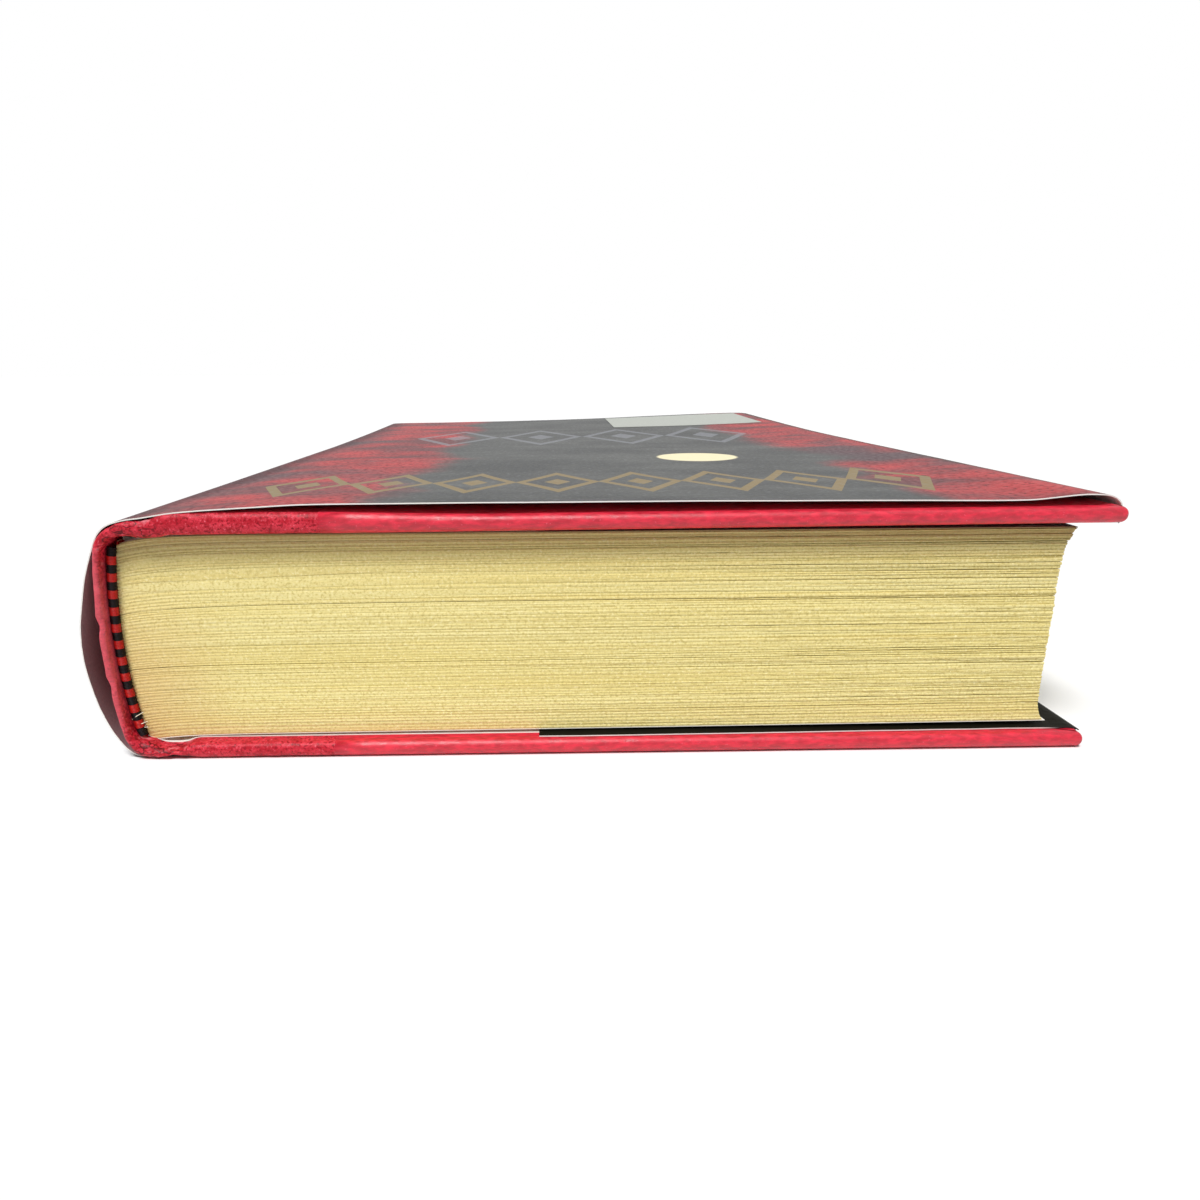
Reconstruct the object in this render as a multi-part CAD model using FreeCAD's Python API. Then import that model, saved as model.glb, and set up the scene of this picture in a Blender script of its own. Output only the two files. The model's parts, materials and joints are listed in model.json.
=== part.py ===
import FreeCAD, Part
import math
import os
from FreeCAD import Vector

# A quarter-bound hardback book in its paper jacket, lying on its back cover.
# Millimetres. X runs from the spine to the fore edge, Y from tail to head, Z up.
# Sections are drawn with x = 0 at the crown of the rounded page block and y = 0
# at the tail edge of the case, and everything is centred at the end.

# Page block
leaf_height = 235.0
leaf_width = 154.0
spine_thickness = 34.5
fore_edge_thinning = 0.8
spine_rise = 1.65
fore_edge_hollow = 1.7
flare_height = 4.0
flare_share = 0.25

# Sheet and board thicknesses
board_thickness = 2.05
covering_thickness = 0.25
endpaper_thickness = 0.15
jacket_thickness = 0.2
mull_thickness = 0.2
lining_thickness = 0.25
inlay_thickness = 0.8
label_thickness = 0.1

# Case
tail_square = 3.0
fore_square = 7.0
board_edge_radius = 0.95
joint_width = 10.0
quarter_width = 24.0
turn_in = 15.0
mull_wing = 22.0
hollow_back = 0.85
spine_strip_margin = 1.05
front_gape = 0.25
groove_depth = 1.2
front_shoulder_x = 0.4
front_shoulder_drop = 0.75
back_shoulder_x = -0.1
back_shoulder_drop = 0.3
shoulder_round = 1.55
peak_share = 0.4
groove_share = 0.69

# Endpapers
pastedown_margin = 3.0
hinge_inset = 0.25
hinge_clearance = 1.6

# Head and tail bands
band_tape_length = 12.0
band_overhang = 0.55
band_clearance = 0.05

# Jacket
jacket_inset = 0.6
flap_width = 93.0
fold_radius = 1.3
fold_clearance = 0.25
jacket_bulge = 3.2
jacket_dip = 0.1
flap_skew = 2.3
panel_stations = (0.12, 0.5, 0.92)
tail_lifts = (1.1, 1.2, 1.35)
head_lifts = (0.25, 0.7, 3.2)
no_lifts = (0.0, 0.0, 0.0)
fold_lift_share = 0.8

# Blank label near the head of the front panel
label_length = 57.0
label_height = 48.0
label_from_fore_edge = 8.0
label_from_head = 6.0

# Smallest gap between sheets that lie on each other, and reach of a cut past what it cuts
strip_gap = 0.05
spare = 1.0

# Levels worked out from the values above
case_height = leaf_height + 2 * tail_square
leaf_bottom_y = tail_square
leaf_top_y = tail_square + leaf_height
cover_depth = board_thickness + 2 * covering_thickness
cover_stack = jacket_thickness + cover_depth + endpaper_thickness + jacket_thickness
back_contact_z = cover_stack
block_bottom_z = back_contact_z + endpaper_thickness
block_top_z = block_bottom_z + spine_thickness
front_contact_z = block_top_z + endpaper_thickness
middle_z = (front_contact_z + back_contact_z) / 2

spine_radius = ((spine_thickness / 2) ** 2 + spine_rise ** 2) / (2 * spine_rise)
shoulder_x = spine_rise
hinge_x = shoulder_x - hinge_inset
fore_edge_x = leaf_width
fore_corner_x = leaf_width + fore_edge_hollow
board_x = joint_width
cover_fore_x = fore_edge_x + fore_square
seam_x = board_x + quarter_width
fold_wall_x = cover_fore_x + fold_clearance
flap_edge_x = fold_wall_x - flap_width

inside_z = front_contact_z + jacket_thickness + endpaper_thickness
core_z = inside_z + covering_thickness
outside_z = inside_z + cover_depth
back_outer_z = 2 * middle_z - outside_z

lining_gap = mull_thickness
inlay_gap = lining_gap + lining_thickness + hollow_back
cloth_gap = inlay_gap + inlay_thickness
case_spine_gap = cloth_gap + covering_thickness
spine_strip_half = spine_thickness / 2 - spine_strip_margin
band_space = inlay_gap - covering_thickness - band_clearance
band_bead_radius = (band_space + mull_thickness / 2) / 2

jacket_left_x = -case_spine_gap - jacket_bulge - jacket_thickness
jacket_right_x = fold_wall_x + jacket_thickness
centre_x = (jacket_left_x + jacket_right_x) / 2


def at(x, z):
    return Vector(x, 0, z)


def line(a, b):
    return Part.LineSegment(a, b).toShape()


def arc(a, b, c):
    return Part.Arc(a, b, c).toShape()


def smooth(points):
    curve = Part.BSplineCurve()
    curve.interpolate(points)
    return curve


def prism(edges, start_y, end_y):
    """Extrude a closed section in the XZ plane along the height of the book."""
    face = Part.Face(Part.Wire(edges))
    face.translate(Vector(0, start_y, 0))
    return face.extrude(Vector(0, end_y - start_y, 0))


def slab(low, high):
    """Box between two corners."""
    return Part.makeBox(high[0] - low[0], high[1] - low[1], high[2] - low[2], Vector(*low))


def on_spine(gap, rise):
    """Point at a gap outside the block's rounded spine and a height from its middle."""
    radius = spine_radius + gap
    return at(spine_radius - math.sqrt(radius ** 2 - rise ** 2), middle_z + rise)


def spine_shell(gap, thickness, half_height, start_y, end_y):
    """Curved sheet parallel to the block's rounded spine."""
    inner = [on_spine(gap, rise) for rise in (-half_height, 0, half_height)]
    outer = [on_spine(gap + thickness, rise) for rise in (half_height, 0, -half_height)]
    edges = [arc(*inner), line(inner[2], outer[0]), arc(*outer), line(outer[2], inner[0])]
    return prism(edges, start_y, end_y)


def rounded_board(low, high, radius):
    """Board with its outer edges rounded along head, tail and fore edge, and mitred corners."""
    box = slab(low, high)
    edges = []
    for edge in box.Edges:
        lies_flat = edge.BoundBox.ZLength < radius
        if lies_flat and edge.BoundBox.XMax > low[0] + radius:
            edges.append(edge)
    return box.makeFillet(radius, edges)


def mirrored(shape):
    """The back cover's piece that matches a flat front cover's piece."""
    return shape.mirror(at(0, middle_z), Vector(0, 0, 1))


def page_block():
    """All the leaves as one solid: round spine, hollow fore edge with flared corners."""
    fore_bottom_z = block_bottom_z + fore_edge_thinning
    corners = [
        at(shoulder_x, block_bottom_z),
        at(fore_corner_x, fore_bottom_z),
        at(fore_corner_x, block_top_z),
        at(shoulder_x, block_top_z),
    ]
    fore = [
        corners[1],
        at(fore_edge_x + fore_edge_hollow * flare_share, fore_bottom_z + flare_height),
        at(fore_edge_x, middle_z),
        at(fore_edge_x + fore_edge_hollow * flare_share, block_top_z - flare_height),
        corners[2],
    ]
    edges = [
        line(corners[0], corners[1]),
        smooth(fore).toShape(),
        line(corners[2], corners[3]),
        arc(corners[3], at(0, middle_z), corners[0]),
    ]
    return prism(edges, leaf_bottom_y, leaf_top_y)


def flyleaf(spine_z, fore_z):
    """Free endpaper lying on the block, from the shoulder to the fore edge."""
    low = at(shoulder_x, spine_z)
    far = at(fore_corner_x, fore_z)
    up = Vector(0, 0, endpaper_thickness)
    edges = [line(low, far), line(far, far + up), line(far + up, low + up), line(low + up, low)]
    return prism(edges, leaf_bottom_y, leaf_top_y)


def spine_band(end_y, direction):
    """Woven band: a tape glued to the spine and a bead over the end of the leaves."""
    half = spine_thickness / 2 - band_bead_radius
    tape_y = sorted((end_y, end_y + direction * band_tape_length))
    tape = spine_shell(0, mull_thickness, half, tape_y[0], tape_y[1])
    bead_gap = band_bead_radius - mull_thickness / 2
    start = on_spine(bead_gap, -half)
    bead_y = end_y + direction * (band_bead_radius - band_overhang)
    start.y = bead_y
    axis_point = Vector(spine_radius, bead_y, middle_z)
    turn = 2 * math.degrees(math.asin(half / (spine_radius + bead_gap)))
    tangent = (start - axis_point).cross(Vector(0, 1, 0))
    circle = Part.makeCircle(band_bead_radius, start, tangent)
    bead = Part.Face(Part.Wire(circle)).revolve(axis_point, Vector(0, 1, 0), turn)
    leaves = page_block()
    return tape.fuse(bead.cut(leaves)).removeSplitter()


def spine_cloth():
    """Middle of the quarter strip: over the spine inlay, turned in at head and tail."""
    over = spine_shell(cloth_gap, covering_thickness, spine_strip_half, 0, case_height)
    inner_gap = inlay_gap - covering_thickness
    whole = cloth_gap - inner_gap
    strip = over
    for start, end in ((0, turn_in), (case_height - turn_in, case_height)):
        folded = spine_shell(inner_gap, covering_thickness, spine_strip_half, start, end)
        strip = strip.fuse(folded)
    for start in (0, case_height - covering_thickness):
        rim = spine_shell(inner_gap, whole, spine_strip_half, start, start + covering_thickness)
        strip = strip.fuse(rim)
    return strip.removeSplitter()


def cover_core():
    """Grey board of a cover, before the covering goes on."""
    low = (board_x, covering_thickness, core_z)
    high = (cover_fore_x - covering_thickness, case_height - covering_thickness,
            core_z + board_thickness)
    return rounded_board(low, high, board_edge_radius)


def cover_wrap(start_x, end_x):
    """Covering round the board with its turn-ins, between two places across the cover."""
    low = (board_x, 0, inside_z)
    high = (cover_fore_x, case_height, outside_z)
    skin = rounded_board(low, high, board_edge_radius + covering_thickness).cut(cover_core())
    window = slab((board_x, turn_in, inside_z),
                  (cover_fore_x - turn_in, case_height - turn_in, core_z))
    keep = slab((start_x, 0, inside_z), (end_x, case_height, outside_z))
    return skin.cut(window).common(keep)


def cover_mull():
    """Wing of open gauze glued inside the cover, under the pastedown."""
    return slab((hinge_x + hinge_clearance, turn_in, inside_z),
                (board_x + mull_wing, case_height - turn_in, core_z))


def cover_pastedown():
    """Endpaper pasted inside the cover: it steps down to the bare board past the turn-ins."""
    low = (hinge_x + hinge_clearance, pastedown_margin, inside_z - endpaper_thickness)
    high = (cover_fore_x - pastedown_margin, case_height - pastedown_margin, inside_z)
    sheet = slab(low, high)
    hollow_low = (board_x + mull_wing, turn_in)
    hollow_high = (cover_fore_x - turn_in, case_height - turn_in)
    t = endpaper_thickness
    step = slab((hollow_low[0], hollow_low[1], low[2]), (hollow_high[0], hollow_high[1], core_z))
    dish = slab((hollow_low[0] + t, hollow_low[1] + t, low[2]),
                (hollow_high[0] - t, hollow_high[1] - t, core_z - t))
    return sheet.fuse(step).cut(dish).removeSplitter()


def joint_line(side, off_cloth, off_board, dip):
    """Five points from the edge of the spine strip, over the shoulder and groove, to the board.

    side is 1 at the front cover and -1 at the back, and the offsets are outward."""
    board_z = outside_z if side > 0 else back_outer_z
    drop = front_shoulder_drop if side > 0 else back_shoulder_drop
    side_x = front_shoulder_x if side > 0 else back_shoulder_x
    slant = off_cloth * math.sqrt(0.5)
    return [
        on_spine(case_spine_gap + off_cloth, side * (spine_strip_half + strip_gap)),
        at(side_x - slant, board_z - side * (drop + shoulder_round - slant)),
        at(joint_width * peak_share, board_z - side * (drop - off_cloth)),
        at(joint_width * groove_share, board_z - side * (dip - off_cloth)),
        at(board_x - strip_gap, board_z + side * off_board),
    ]


def joint_strip(outer, inner, start_y, end_y):
    """Sheet between two such lines, each of two arcs."""
    edges = [
        arc(*outer[:3]),
        arc(*outer[2:]),
        line(outer[4], inner[4]),
        arc(*reversed(inner[2:])),
        arc(*reversed(inner[:3])),
        line(inner[0], outer[0]),
    ]
    return prism(edges, start_y, end_y)


def joint_cloth(side):
    """The quarter strip's cloth between the spine strip and a board."""
    outer = joint_line(side, 0, 0, groove_depth)
    inner = joint_line(side, -covering_thickness, -covering_thickness, groove_depth)
    return joint_strip(outer, inner, 0, case_height)


def joint_jacket(side):
    """The jacket over the same joint, just clear of the cloth."""
    drop = front_shoulder_drop if side > 0 else back_shoulder_drop
    outer = joint_line(side, strip_gap + jacket_thickness, jacket_thickness, drop + jacket_dip)
    inner = joint_line(side, strip_gap, 0, drop + jacket_dip)
    return joint_strip(outer, inner, jacket_inset, case_height - jacket_inset)


def jacket_spine_points():
    """Ends and middle of the jacket's spine, which bulges clear of the case."""
    clear = case_spine_gap + strip_gap + jacket_thickness
    return [
        on_spine(clear, -spine_strip_half),
        at(jacket_left_x, middle_z),
        on_spine(clear, spine_strip_half),
    ]


def jacket_spine():
    """Middle of the jacket, bowed out past the spine of the case."""
    outer = jacket_spine_points()
    middle = at(spine_radius, middle_z)
    inner = []
    for point in outer:
        toward = middle - point
        inner.append(point + toward.normalize() * jacket_thickness)
    edges = [arc(*outer), line(outer[2], inner[2]), arc(*reversed(inner)), line(inner[0], outer[0])]
    return prism(edges, jacket_inset, case_height - jacket_inset)


def panel_points(lifts, raise_by):
    """Line of the jacket's panel above the board, lifted off it by the given amounts."""
    end_x = fold_wall_x - fold_radius
    width = end_x - board_x
    points = [at(board_x, outside_z + raise_by)]
    for share, lift in zip(panel_stations, lifts):
        points.append(at(board_x + share * width, outside_z + lift + raise_by))
    points.append(at(end_x, outside_z + lifts[-1] * fold_lift_share + raise_by))
    return points


def panel_edge(points):
    """Curve through a lifted panel's points, or one line where the panel lies flat."""
    heights = [point.z for point in points]
    if max(heights) - min(heights) < strip_gap:
        return line(points[0], points[-1])
    return smooth(points).toShape()


def fold_edges(wall_x, radius, low_z, high_z):
    """Flap line, rounded fold and wall of the jacket round the fore edge of a board."""
    side = math.sqrt(0.5) * radius
    low = at(wall_x - radius, low_z + radius)
    high = at(wall_x - radius, high_z - radius)
    return [
        line(at(flap_edge_x, low_z), at(low.x, low_z)),
        arc(at(low.x, low_z), at(low.x + side, low.z - side), at(wall_x, low.z)),
        line(at(wall_x, low.z), at(wall_x, high.z)),
        arc(at(wall_x, high.z), at(high.x + side, high.z + side), at(high.x, high_z)),
    ]


def jacket_section(lifts):
    """Outline of panel, fold and flap in one sheet thickness, as edges in order."""
    t = jacket_thickness
    flap_z = front_contact_z
    inner_panel = panel_points(lifts, 0)
    outer_panel = panel_points(lifts, t)
    inner = fold_edges(fold_wall_x, fold_radius, flap_z + t, inner_panel[-1].z)
    outer = fold_edges(fold_wall_x + t, fold_radius + t, flap_z, outer_panel[-1].z)
    edges = [line(at(flap_edge_x, flap_z + t), at(flap_edge_x, flap_z))]
    edges += outer
    edges.append(panel_edge(outer_panel))
    edges.append(line(outer_panel[0], inner_panel[0]))
    edges.append(panel_edge(inner_panel))
    edges += list(reversed(inner))
    return Part.__sortEdges__(edges)


def lifted_jacket(at_tail, at_head):
    """Jacket round a cover, its panel lifted by different amounts at tail and head."""
    ends = []
    for lifts, y in ((at_tail, jacket_inset), (at_head, case_height - jacket_inset)):
        wire = Part.Wire(jacket_section(lifts))
        wire.translate(Vector(0, y, 0))
        ends.append(wire)
    return Part.makeLoft(ends, True, True)


def flat_jacket():
    """Jacket pressed flat against a cover, its flap cut short at the tail."""
    return prism(jacket_section(no_lifts), jacket_inset, case_height - jacket_inset).cut(skew_cut())


def skew_cut():
    """Wedge that the flap's tail edge runs short of, because the jacket sits askew."""
    low_z = front_contact_z - spare
    end_x = jacket_right_x + spare
    corners = [
        Vector(flap_edge_x, 0, low_z),
        Vector(end_x, 0, low_z),
        Vector(end_x, jacket_inset + flap_skew, low_z),
        Vector(flap_edge_x, jacket_inset, low_z),
    ]
    wire = Part.makePolygon(corners + corners[:1])
    return Part.Face(wire).extrude(Vector(0, 0, cover_depth + spare))


def blank_label(panel):
    """Thin sticker that follows the lifted corner of the front panel."""
    high_x = cover_fore_x - label_from_fore_edge
    high_y = case_height - label_from_head
    area = slab((high_x - label_length, high_y - label_height, outside_z),
                (high_x, high_y, panel.BoundBox.ZMax + label_thickness))
    raised = panel.translated(Vector(0, 0, label_thickness))
    return raised.cut(panel).common(area)


def gaped(shape):
    """Front cover as it rests, a little open about its hinge."""
    hinge_point = at(hinge_x, front_contact_z)
    return shape.rotated(hinge_point, Vector(0, -1, 0), front_gape)


cover = {
    "board": cover_core(),
    "side_paper": cover_wrap(seam_x, cover_fore_x),
    "quarter_strip": cover_wrap(board_x, seam_x),
    "mull_wing": cover_mull(),
    "pastedown": cover_pastedown(),
}

nodes = {
    "page_block": page_block(),
    "front_flyleaf": flyleaf(block_top_z, block_top_z),
    "back_flyleaf": flyleaf(back_contact_z, back_contact_z + fore_edge_thinning),
    "tail_band": spine_band(leaf_bottom_y, 1),
    "head_band": spine_band(leaf_top_y, -1),
    "mull": spine_shell(0, mull_thickness, spine_thickness / 2 - mull_thickness,
                        leaf_bottom_y + band_tape_length, leaf_top_y - band_tape_length),
    "spine_lining": spine_shell(lining_gap, lining_thickness,
                                spine_thickness / 2 - lining_thickness - band_bead_radius,
                                leaf_bottom_y + band_bead_radius * 2,
                                leaf_top_y - band_bead_radius * 2),
    "spine_inlay": spine_shell(inlay_gap, inlay_thickness, spine_strip_half,
                               covering_thickness, case_height - covering_thickness),
    "spine_cloth": spine_cloth(),
    "jacket_spine": jacket_spine(),
}

for name, shape in cover.items():
    nodes["front_" + name] = gaped(shape)
    nodes["back_" + name] = mirrored(shape)

front_panel = lifted_jacket(tail_lifts, head_lifts)
nodes["jacket_front"] = gaped(front_panel)
nodes["jacket_back"] = mirrored(flat_jacket())
nodes["blank_label"] = gaped(blank_label(front_panel))

for side, name in ((1, "front"), (-1, "back")):
    nodes[name + "_joint_cloth"] = joint_cloth(side)
    nodes[name + "_joint_jacket"] = joint_jacket(side)

os.makedirs("parts", exist_ok=True)
for name, shape in nodes.items():
    placed = shape.translated(Vector(-centre_x, -case_height / 2, 0))
    placed.exportStep("parts/" + name + ".step")
    box = placed.BoundBox
    print(name, placed.ShapeType, len(placed.Solids), placed.isValid(), round(placed.Volume, 1),
          "x", round(box.XMin, 2), round(box.XMax, 2), "y", round(box.YMin, 2), round(box.YMax, 2),
          "z", round(box.ZMin, 2), round(box.ZMax, 2))
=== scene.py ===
import json
import math
import random

import bmesh
import bpy
from mathutils import Matrix, Vector, noise


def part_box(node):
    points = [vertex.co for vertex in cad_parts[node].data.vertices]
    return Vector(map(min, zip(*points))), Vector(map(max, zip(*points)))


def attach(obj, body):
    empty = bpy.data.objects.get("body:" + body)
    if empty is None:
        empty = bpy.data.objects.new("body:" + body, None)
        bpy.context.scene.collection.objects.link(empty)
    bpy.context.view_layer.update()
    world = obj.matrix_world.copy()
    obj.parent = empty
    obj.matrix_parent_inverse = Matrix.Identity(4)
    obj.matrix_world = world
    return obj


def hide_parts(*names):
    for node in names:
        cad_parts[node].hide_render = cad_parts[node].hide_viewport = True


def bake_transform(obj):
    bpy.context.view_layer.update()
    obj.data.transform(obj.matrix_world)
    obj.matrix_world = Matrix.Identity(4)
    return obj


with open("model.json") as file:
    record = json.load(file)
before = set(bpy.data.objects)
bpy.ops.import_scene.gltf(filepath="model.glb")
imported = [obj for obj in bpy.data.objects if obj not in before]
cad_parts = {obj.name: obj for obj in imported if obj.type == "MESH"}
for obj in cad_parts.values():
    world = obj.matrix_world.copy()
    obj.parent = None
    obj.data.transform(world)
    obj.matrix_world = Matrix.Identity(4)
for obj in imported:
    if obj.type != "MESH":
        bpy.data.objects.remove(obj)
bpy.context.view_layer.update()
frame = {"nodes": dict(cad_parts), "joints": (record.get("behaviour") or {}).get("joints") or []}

# Camera, lamps and floor. The book lies on a plain pale table in soft daylight, and it is
# seen close up from just above its tail edge.
scene = bpy.context.scene
scene.view_settings.view_transform = "Standard"

camera_place = Vector((-0.00766, -0.24061, 0.06217))
camera_heading = math.radians(-0.70)
camera_tilt = math.radians(90 - 15.5)
camera_roll = math.radians(-0.41)
camera_data = bpy.data.cameras.new("camera")
camera_data.sensor_width = 36
camera_data.lens = 23.475
camera_data.shift_x = 0.035
camera_data.shift_y = -0.0075
camera_data.clip_start = 0.01
camera = bpy.data.objects.new("camera", camera_data)
camera.matrix_world = (
    Matrix.Translation(camera_place)
    @ Matrix.Rotation(camera_heading, 4, "Z")
    @ Matrix.Rotation(camera_tilt, 4, "X")
    @ Matrix.Rotation(camera_roll, 4, "Z")
)
scene.collection.objects.link(camera)
scene.camera = camera

daylight_strength = 3.35
daylight_heading = Vector((0.2, 0.5, -1.0))
sky_strength = 0.12
backdrop_strength = 1.0
daylight = bpy.data.lights.new("daylight", "SUN")
daylight.energy = daylight_strength
daylight.angle = math.radians(20)
window = bpy.data.objects.new("daylight", daylight)
window.rotation_euler = daylight_heading.to_track_quat("-Z", "Y").to_euler()
scene.collection.objects.link(window)

world = bpy.data.worlds.new("room")
world.use_nodes = True
scene.world = world
room = world.node_tree
sky = room.nodes["Background"]
seen = room.nodes.new("ShaderNodeBackground")
for shader, strength in ((sky, sky_strength), (seen, backdrop_strength)):
    shader.inputs["Color"].default_value = (1, 1, 1, 1)
    shader.inputs["Strength"].default_value = strength
light_path = room.nodes.new("ShaderNodeLightPath")
choice = room.nodes.new("ShaderNodeMixShader")
mirrored = room.nodes.new("ShaderNodeMath")
mirrored.operation = "MAXIMUM"
room.links.new(light_path.outputs["Is Camera Ray"], mirrored.inputs[0])
room.links.new(light_path.outputs["Is Glossy Ray"], mirrored.inputs[1])
room.links.new(mirrored.outputs[0], choice.inputs[0])
room.links.new(sky.outputs[0], choice.inputs[1])
room.links.new(seen.outputs[0], choice.inputs[2])
room.links.new(choice.outputs[0], room.nodes["World Output"].inputs[0])


def tone(red, green, blue):
    """Colour of a surface, written as it looks in daylight from 0 to 255."""
    linear = []
    for part in (red, green, blue):
        share = part / 255
        linear.append(share / 12.92 if share < 0.04045 else ((share + 0.055) / 1.055) ** 2.4)
    return (*linear, 1.0)


class Finish:
    """A material built up one node at a time."""

    def __init__(self, name, colour, roughness, specular=0.5):
        self.material = bpy.data.materials.new(name)
        self.material.use_nodes = True
        self.tree = self.material.node_tree
        self.shader = self.tree.nodes["Principled BSDF"]
        self.put(self.shader.inputs["Base Color"], colour)
        self.put(self.shader.inputs["Roughness"], roughness)
        self.put(self.shader.inputs["Specular IOR Level"], specular)

    def put(self, socket, value):
        if isinstance(value, bpy.types.NodeSocket):
            self.tree.links.new(value, socket)
        else:
            socket.default_value = value

    def node(self, kind, values, output=0, **settings):
        made = self.tree.nodes.new("ShaderNode" + kind)
        for key, value in settings.items():
            setattr(made, key, value)
        for key, value in values.items():
            self.put(made.inputs[key], value)
        return made.outputs[output]

    def stored(self, name):
        """Position kept on the mesh before it bends, in metres."""
        return self.node("Attribute", {}, "Vector", attribute_name=name)

    def place(self):
        return self.node("TexCoord", {}, "Object")

    def parts(self, vector):
        made = self.tree.nodes.new("ShaderNodeSeparateXYZ")
        self.put(made.inputs[0], vector)
        return made.outputs[0], made.outputs[1], made.outputs[2]

    def sum(self, operation, first, second=0.0, third=0.0):
        return self.node("Math", {0: first, 1: second, 2: third}, operation=operation)

    def times(self, first, second):
        return self.sum("MULTIPLY", first, second)

    def apart(self, first, second=0.0):
        return self.sum("ABSOLUTE", self.sum("SUBTRACT", first, second))

    def stretch(self, vector, scales):
        return self.node("VectorMath", {0: vector, 1: scales}, operation="MULTIPLY")

    def noise(self, vector, scale, detail=3.0, roughness=0.55):
        values = {"Vector": vector, "Scale": scale, "Detail": detail, "Roughness": roughness}
        return self.node("TexNoise", values)

    def ramp(self, value, low, high):
        values = {"Value": value, "From Min": low, "From Max": high}
        return self.node("MapRange", values, interpolation_type="SMOOTHSTEP")

    def mix(self, share, first, second):
        return self.node("Mix", {0: share, 6: first, 7: second}, 2, data_type="RGBA")

    def relief(self, height, distance, strength=1.0, normal=None):
        values = {"Height": height, "Distance": distance, "Strength": strength}
        if normal is not None:
            values["Normal"] = normal
        return self.node("Bump", values)

    def colour(self, value):
        self.put(self.shader.inputs["Base Color"], value)

    def rough(self, value):
        self.put(self.shader.inputs["Roughness"], value)

    def normal(self, value):
        self.put(self.shader.inputs["Normal"], value)


floor_finish = Finish("table", tone(253, 253, 253), 0.9, 0.0)
floor_finish.rough(floor_finish.ramp(floor_finish.noise(floor_finish.place(), 40), -1.0, 1.0))
floor_width = 400
bpy.ops.mesh.primitive_plane_add(size=floor_width)
floor = bpy.context.object
floor.name = "floor"
floor.data.materials.append(floor_finish.material)

# Leaves: several hundred sheets of cream wood paper, sewn and glued at the rounded spine
# and trimmed on three sides. They lie in loose packets that part a little at the fore edge.
mm = 0.001
block_low, block_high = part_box("page_block")
case_low, case_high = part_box("spine_cloth")
origin = Vector((block_low.x, case_low.y, 0))
case_height = (case_high.y - case_low.y) / mm
bottom_z = block_low.z / mm
top_z = block_high.z / mm
middle_z = (bottom_z + top_z) / 2
tail_y = (block_low.y - origin.y) / mm
head_y = (block_high.y - origin.y) / mm
leaf_width = 154.0
spine_rise = 1.65
spine_radius = (((top_z - bottom_z) / 2) ** 2 + spine_rise ** 2) / (2 * spine_rise)
thinning = 0.8
fore_set_back = 0.2
top_flare = 2.0
top_flare_height = 2.4
low_flare = 1.45
low_flare_height = 2.0
shoulder_sag = (0.35, 0.95, 1.5)
shoulder_reach = 4.5
upper_sag = 11.0
upper_reach = 16.0


def spot(x, y, z):
    """Place in the scene of a point measured in mm from the spine's crown and the case's tail."""
    return origin + Vector((x, y, z)) * mm


def smooth_step(low, high, value):
    share = min(max((value - low) / (high - low), 0.0), 1.0)
    return share * share * (3 - 2 * share)


def wander(x, y, z=0.0):
    """Smooth random value between about -1 and 1."""
    return noise.noise(Vector((x, y, z)))


def spine_x(z, gap=0.0):
    """Distance from the spine's crown of a surface parallel to the rounded spine."""
    radius = spine_radius + gap
    return spine_radius - math.sqrt(radius ** 2 - (z - middle_z) ** 2)


def fore_x(z):
    """Trimmed fore edge: nearly straight, flared at its upper and lower corners."""
    flare = top_flare * math.exp((z - top_z) / top_flare_height)
    flare += low_flare * math.exp((bottom_z + thinning - z) / low_flare_height)
    return leaf_width - fore_set_back + 0.1 * math.cos((z - middle_z) / 5.5) + flare


def leaf_level(x, share):
    """Height of a leaf: leaves sag towards the rounded spine, most of all in the upper half."""
    low = bottom_z + thinning * x / leaf_width
    even, lowest, topmost = shoulder_sag
    sag = even + lowest * (1 - share) ** 4 + topmost * share ** 5
    sag *= math.exp(-max(x, 0.0) / shoulder_reach)
    sag += upper_sag * share ** 3 * (1 - share) * math.exp(-x / upper_reach)
    return low + (top_z - low) * share - sag


def keep_rest(mesh, name, values):
    """Store a vector for each vertex, for the finish to read."""
    attribute = mesh.attributes.new(name, "FLOAT_VECTOR", "POINT")
    attribute.data.foreach_set("vector", [part for value in values for part in value])


def piece(name, bm, materials, smooth=True):
    """Turn a worked mesh into an object of the scene."""
    mesh = bpy.data.meshes.new(name)
    bm.to_mesh(mesh)
    bm.free()
    for material in materials:
        mesh.materials.append(material)
    mesh.polygons.foreach_set("use_smooth", [smooth] * len(mesh.polygons))
    made = bpy.data.objects.new(name, mesh)
    scene.collection.objects.link(made)
    return made


thin_packet = 0.34
thick_packet = 0.72
packet_gaps = (0.02, 0.04, 0.06, 0.08, 0.14)
parting_places = (0.36, 0.67)
parting_gap = 0.05
packet_round = 0.07
closed_share = 0.12
ragged_depth = 0.09
broad_wave = 0.11
fine_wave = 0.045
random.seed(11)
tail_steps = 104
fore_steps = 44
ring = 2 * (tail_steps + fore_steps)
packets = [0.0]
while packets[-1] < 1.0:
    packets.append(packets[-1] + random.uniform(thin_packet, thick_packet) / (top_z - bottom_z))
packets[-1] = 1.0
gaps = [random.choice(packet_gaps) for _ in packets]
gaps[0] = gaps[-1] = 0.0
juts = [random.uniform(-0.13, 0.1) for _ in packets]
parted = [min(range(len(packets)), key=lambda i: abs(packets[i] - place)) for place in parting_places]


def leaf_edge(step):
    """Corner-to-corner place of a step round a leaf, as shares of its width and height."""
    if step < tail_steps:
        return step / tail_steps, 0.0
    step -= tail_steps
    if step < fore_steps:
        return 1.0, step / fore_steps
    step -= fore_steps
    if step < tail_steps:
        return 1.0 - step / tail_steps, 1.0
    return 0.0, 1.0 - (step - tail_steps) / fore_steps


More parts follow.
